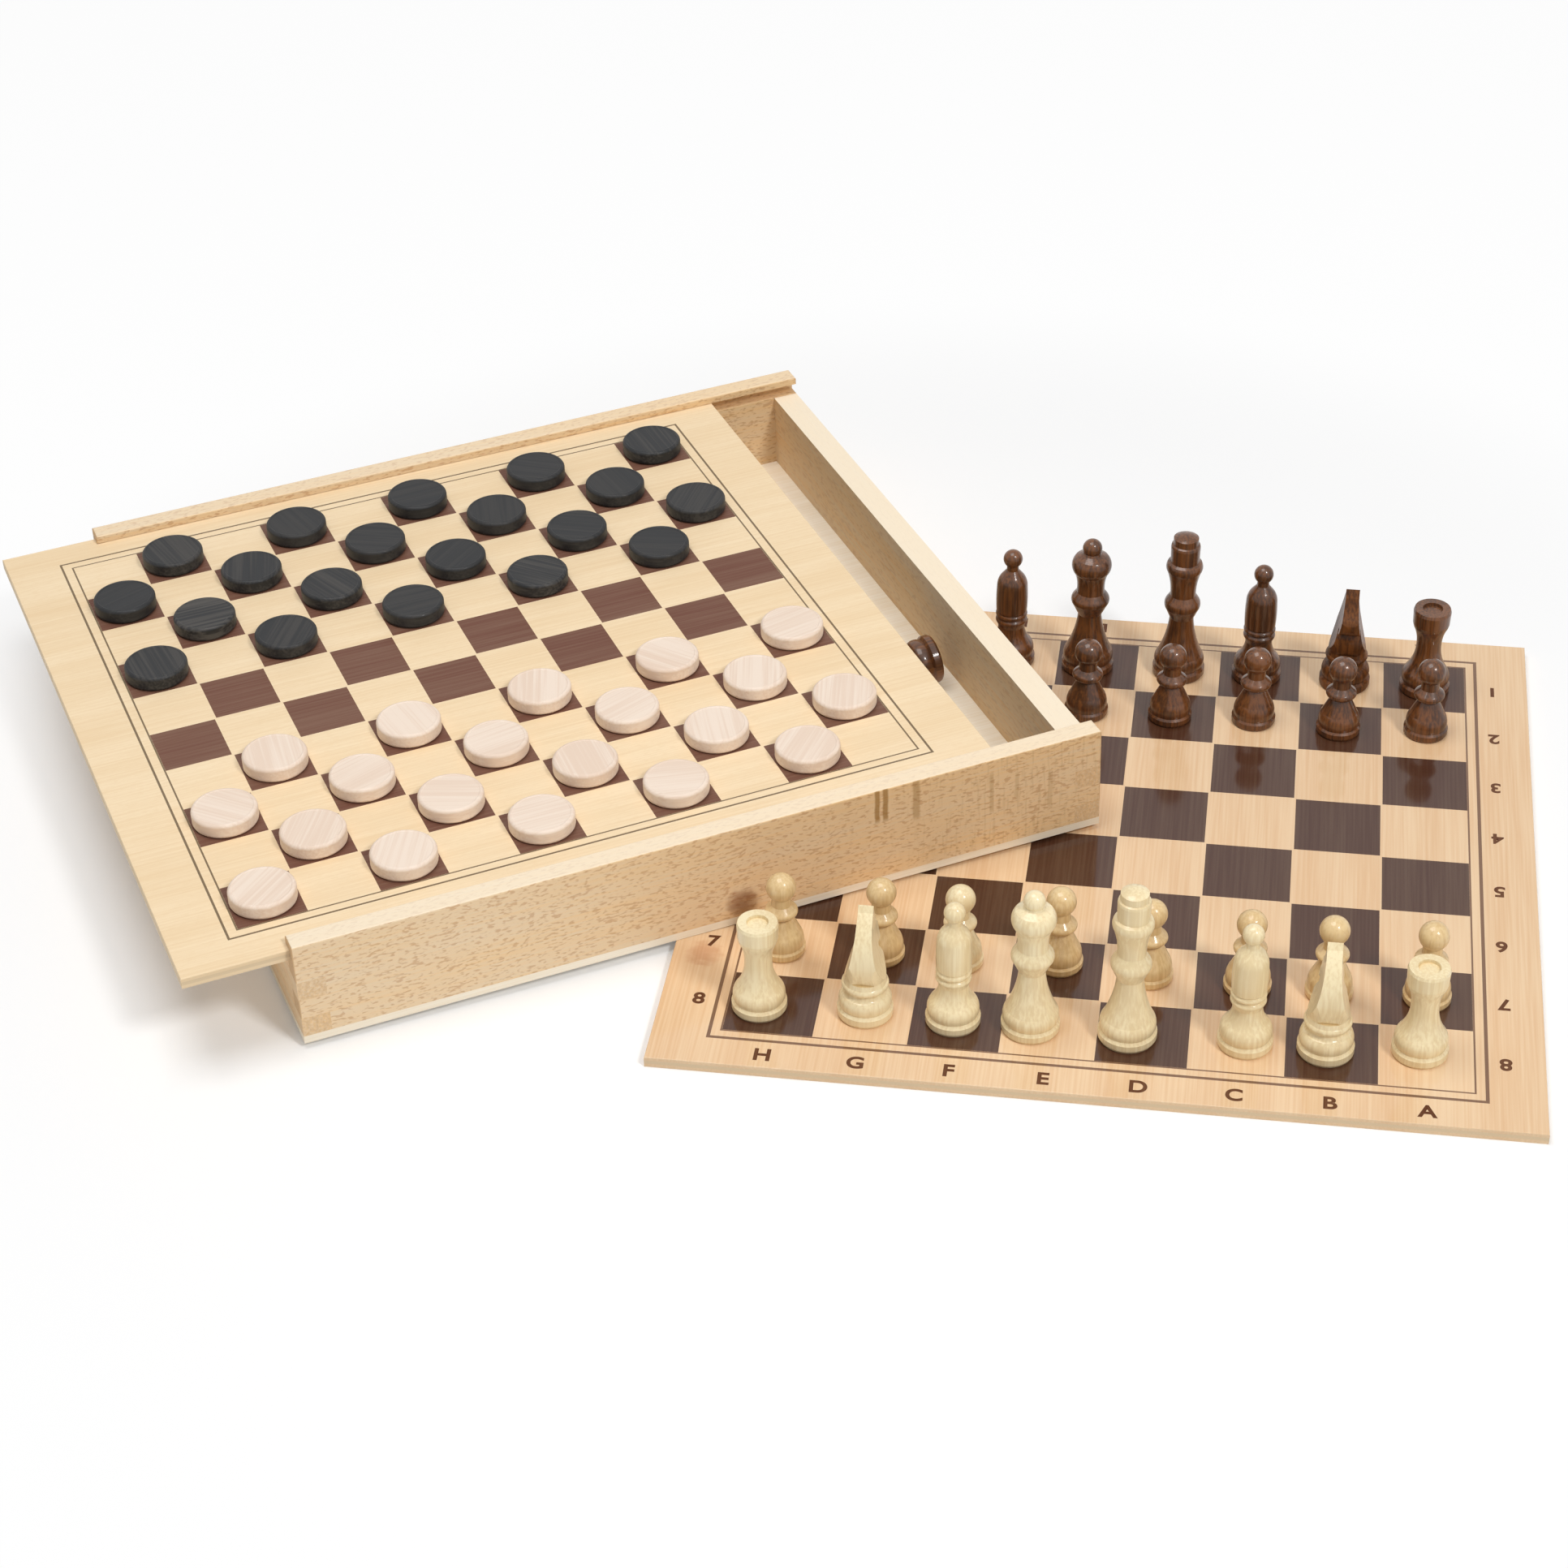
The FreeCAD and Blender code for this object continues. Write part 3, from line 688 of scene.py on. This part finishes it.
class FinishBox(bpy.types.Operator):
    """Finish the four walls and the base of the box in beech and plywood"""

    bl_idname = "chess_box.finish_box"
    bl_label = "Finish box"

    def execute(self, context):
        front = side_wall_finish("front_wall_beech", "front_wall", FRONT_TOP_LIGHT_COVER, True)
        back = side_wall_finish("back_wall_beech", "back_wall", BACK_TOP_LIGHT_COVER, False)
        dress(front, "front_wall")
        dress(back, "back_wall")
        dress(end_wall_finish("end_wall_beech"), "left_wall", "right_wall")
        dress(base_finish("base_plywood"), "base_panel")
        return {"FINISHED"}


class FinishLid(bpy.types.Operator):
    """Finish the sliding lid and print its draughts field"""

    bl_idname = "chess_box.finish_lid"
    bl_label = "Finish lid"

    def execute(self, context):
        dress(lid_finish("lid_veneer"), "sliding_lid")
        return {"FINISHED"}


class FinishPanel(bpy.types.Operator):
    """Finish the chess panel and print its field"""

    bl_idname = "chess_box.finish_panel"
    bl_label = "Finish chess panel"

    def execute(self, context):
        dress(panel_finish("panel_veneer"), "chess_panel")
        return {"FINISHED"}


def glyph(character, across, back, turn):
    """A printed character on the chess panel, as a mesh with its place in it."""
    boards = bpy.context.scene.boards
    bpy.ops.object.select_all(action="DESELECT")
    bpy.ops.object.text_add()
    text = bpy.context.object
    text.data.body = character
    text.data.align_x = "CENTER"
    text.data.offset = GLYPH_WEIGHT
    text.data.extrude = 0.5
    bpy.ops.object.convert(target="MESH")
    spans = [[vertex.co[i] for vertex in text.data.vertices] for i in range(3)]
    sizes = [max(values) - min(values) for values in spans]
    scale = boards.glyph_height / sizes[1]
    centre = [(max(values) + min(values)) / 2 for values in spans]
    centre[2] = min(spans[2])
    stretch = (scale * GLYPH_STRETCH, scale, boards.glyph_depth / sizes[2])
    origin = Matrix.Translation([-value for value in centre])
    turned = Matrix.Rotation(PANEL_TURN + turn, 4, "Z")
    panel_across, panel_back, _ = middle("chess_panel", PANEL_AXES)
    spot = PANEL_AXES[0] * (panel_across + across) + PANEL_AXES[1] * (panel_back + back)
    spot.z = span("chess_panel", PANEL_UP)[1]
    sized = Matrix.Diagonal((*stretch, 1))
    text.matrix_world = Matrix.Translation(spot) @ turned @ sized
    text.data.transform(origin)
    bpy.ops.object.transform_apply(location=True, rotation=True, scale=True)
    return text


def joined(name, glyphs, finish):
    """One printed piece from its characters, riding on the chess panel."""
    bpy.ops.object.select_all(action="DESELECT")
    for piece in glyphs:
        piece.select_set(True)
    bpy.context.view_layer.objects.active = glyphs[0]
    bpy.ops.object.join()
    piece = bpy.context.object
    piece.name = name
    piece.data.materials.clear()
    piece.data.materials.append(finish)
    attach(piece, "chess_panel")


class PrintCoordinates(bpy.types.Operator):
    """Print the letters of the files and the numbers of the ranks round the chess field"""

    bl_idname = "chess_box.print_coordinates"
    bl_label = "Print coordinates"

    def execute(self, context):
        boards = context.scene.boards
        finish = ink_finish("coordinate_ink")
        first = (1 - CHESS_SQUARES) / 2
        steps = [(first + index) * boards.panel_pitch for index in range(CHESS_SQUARES)]
        letters = []
        numbers = []
        for letter, step in zip(FILE_LETTERS, steps):
            letters.append(glyph(letter, step, -boards.letters_out, 0))
            letters.append(glyph(letter, step, boards.letters_out, math.pi))
        for number, step in zip(RANK_NUMBERS, steps):
            numbers.append(glyph(number, -boards.numbers_out, step, 0))
            numbers.append(glyph(number, boards.numbers_out, step, math.pi))
        joined("file_letters", letters, finish)
        joined("rank_numbers", numbers, finish)
        return {"FINISHED"}


class FinishDraughtsmen(bpy.types.Operator):
    """Finish the pale and the black draughtsmen"""

    bl_idname = "chess_box.finish_draughtsmen"
    bl_label = "Finish draughtsmen"

    def execute(self, context):
        men = context.scene.men
        shades = (men.pale_draught, men.pale_draught_grain)
        pale = draughts_finish("pale_draughts", *shades, PALE_WEAR)
        shades = (men.black_draught, men.black_draught_grain)
        black = draughts_finish("black_draughts", *shades, BLACK_WEAR)
        dress(pale, *nodes_named("white_draughts"))
        dress(black, *nodes_named("black_draughts"))
        return {"FINISHED"}


class FinishChessmen(bpy.types.Operator):
    """Finish the light and the dark chessmen, standing and lying"""

    bl_idname = "chess_box.finish_chessmen"
    bl_label = "Finish chessmen"

    def execute(self, context):
        men = context.scene.men
        upright = (ROOM_AXES[2], ROOM_AXES[0], ROOM_AXES[1])
        shades = (men.light_man, men.light_man_grain, LIGHT_GRAIN_DEPTH)
        light = chessman_finish("light_lacquer", upright, *shades)
        # Most light pawns: a deeper tone, partly their own wood and partly painted shade
        shades = (men.light_pawn, men.shaded_pawn_grain, SHADED_PAWN_GRAIN_DEPTH)
        pawn = chessman_finish("shaded_pawn_lacquer", upright, *shades)
        shades = (men.dark_man, men.dark_man_grain, DARK_GRAIN_DEPTH)
        dark = chessman_finish("dark_lacquer", upright, *shades)
        carved = chessman_finish("carved_lacquer", upright, *shades, polish=CARVED_POLISH)
        lying = chessman_finish("lying_lacquer", BOX_AXES, *shades)
        dress(light, *nodes_named("light_"))
        dress(pawn, *[name for name in nodes_named("light_pawn") if name != UNSHADED_PAWN])
        dress(dark, *[name for name in nodes_named("dark_") if name not in LYING_MEN])
        dress(carved, *nodes_named("dark_knight"))
        dress(lying, *LYING_MEN)
        return {"FINISHED"}


def area_lamp(name, place_and_size, power):
    """A soft square lamp that points at the middle of the stage."""
    place, size = place_and_size
    bpy.ops.object.light_add(type="AREA", location=place)
    lamp = bpy.context.object
    lamp.name = name
    lamp.data.shape = "SQUARE"
    lamp.data.size = size
    lamp.data.energy = power
    lamp.rotation_euler = (-Vector(place)).to_track_quat("-Z", "Y").to_euler()


def seen_white(wire):
    """All for the rays that see the floor and the room as white, none for the others."""
    light_paths = [wire.node("ShaderNodeLightPath", {}, {}, name) for name in WHITE_RAYS]
    return larger(larger(light_paths[0], light_paths[1]), light_paths[2])


class SetStage(bpy.types.Operator):
    """Set the pale floor, the soft lamps, the surrounding light and the camera"""

    bl_idname = "chess_box.set_stage"
    bl_label = "Set stage"

    def execute(self, context):
        stage = context.scene.stage
        bpy.ops.object.select_all(action="DESELECT")
        bpy.ops.mesh.primitive_plane_add(size=FLOOR_SIDE)
        floor = context.object
        floor.name = "pale_floor"
        floor.location.z = CAD_BOX[0].z - FLOOR_DROP
        self.floor_finish(floor, stage)
        area_lamp("key_lamp", KEY_LAMP, stage.key_power)
        area_lamp("top_lamp", TOP_LAMP, stage.top_power)
        self.light_room(context, stage)
        self.place_camera(context, stage)
        context.scene.view_settings.view_transform = "Standard"
        return {"FINISHED"}

    def floor_finish(self, floor, stage):
        """White card that keeps the shadows by the object and is white further out."""
        material, point = new_finish("floor_card")
        middle_place = (CAD_BOX[0] + CAD_BOX[1]) / 2
        half = (CAD_BOX[1] - CAD_BOX[0]) / 2
        across, back, up = places(point, ROOM_AXES, (middle_place.x, middle_place.y, 0))
        fibres = noise(spread(across, back, up, CARD_FIBRES), 3)
        base = mixed(fibres * 0.02, stage.floor, stage.floor_fibre)
        card = point.node("ShaderNodeBsdfDiffuse", {}, {"Color": base})
        glow = point.node("ShaderNodeEmission", {}, {"Color": WHITE, "Strength": 1.0})
        out = (across / half.x) ** 2 + (back / half.y) ** 2
        whitening = (stage.sweep_glow - stage.floor_glow) * rise(out, *WHITE_REACH)
        glowing = stage.floor_glow + whitening
        sockets = {0: seen_white(point) * glowing, 1: card, 2: glow}
        lit = point.node("ShaderNodeMixShader", {}, sockets)
        point.node("ShaderNodeOutputMaterial", {}, {"Surface": lit})
        floor.data.materials.append(material)

    def light_room(self, context, stage):
        """Even light all round, which the camera and reflections see as white."""
        world = bpy.data.worlds.new("studio")
        world.use_nodes = True
        world.node_tree.nodes.clear()
        root = Wire(world.node_tree)
        strength = stage.daylight + seen_white(root) * (1 - stage.daylight)
        glow = root.node("ShaderNodeBackground", {}, {"Color": WHITE, "Strength": strength})
        root.node("ShaderNodeOutputWorld", {}, {"Surface": glow})
        context.scene.world = world

    def place_camera(self, context, stage):
        """The photograph's viewing angle."""
        bpy.ops.object.camera_add()
        camera = context.object
        camera.name = "photo_camera"
        camera.data.lens = stage.lens
        camera.data.clip_start, camera.data.clip_end = CAMERA_CLIP
        upward = CAMERA_RIGHT.cross(CAMERA_FORWARD)
        turn = Matrix((CAMERA_RIGHT, upward, -CAMERA_FORWARD)).transposed()
        camera.matrix_world = Matrix.Translation(CAMERA_PLACE) @ turn.to_4x4()
        context.scene.camera = camera


OPERATORS = (
    FinishBox,
    FinishLid,
    FinishPanel,
    PrintCoordinates,
    FinishDraughtsmen,
    FinishChessmen,
    SetStage,
)
SETTINGS = {
    "box_wood": BoxWoodSettings,
    "boards": BoardSettings,
    "men": MenSettings,
    "stage": StageSettings,
}


class ChessBoxPanel(bpy.types.Panel):
    """Lists the settings and the steps of the looks"""

    bl_idname = "VIEW3D_PT_chess_box"
    bl_label = "Chess Box"
    bl_space_type = "VIEW_3D"
    bl_region_type = "UI"
    bl_category = "Chess Box"

    def draw(self, context):
        for operator in OPERATORS:
            self.layout.operator(operator.bl_idname)
        for name, group in SETTINGS.items():
            column = self.layout.column(heading=group.__doc__)
            for setting in group.__annotations__:
                column.prop(getattr(context.scene, name), setting)


def register():
    """Register the settings, the operators and the panel."""
    for group in SETTINGS.values():
        bpy.utils.register_class(group)
    for name, group in SETTINGS.items():
        setattr(bpy.types.Scene, name, bpy.props.PointerProperty(type=group))
    for operator in OPERATORS:
        bpy.utils.register_class(operator)
    bpy.utils.register_class(ChessBoxPanel)


def unregister():
    """Take back what register did."""
    bpy.utils.unregister_class(ChessBoxPanel)
    for operator in reversed(OPERATORS):
        bpy.utils.unregister_class(operator)
    for name, group in SETTINGS.items():
        delattr(bpy.types.Scene, name)
        bpy.utils.unregister_class(group)


def main():
    """Dress the object, set the stage and write the two boxes."""
    register()
    bpy.ops.chess_box.finish_box()
    bpy.ops.chess_box.finish_lid()
    bpy.ops.chess_box.finish_panel()
    bpy.ops.chess_box.print_coordinates()
    bpy.ops.chess_box.finish_draughtsmen()
    bpy.ops.chess_box.finish_chessmen()
    bpy.ops.chess_box.set_stage()


if __name__ == "__main__":
    main()
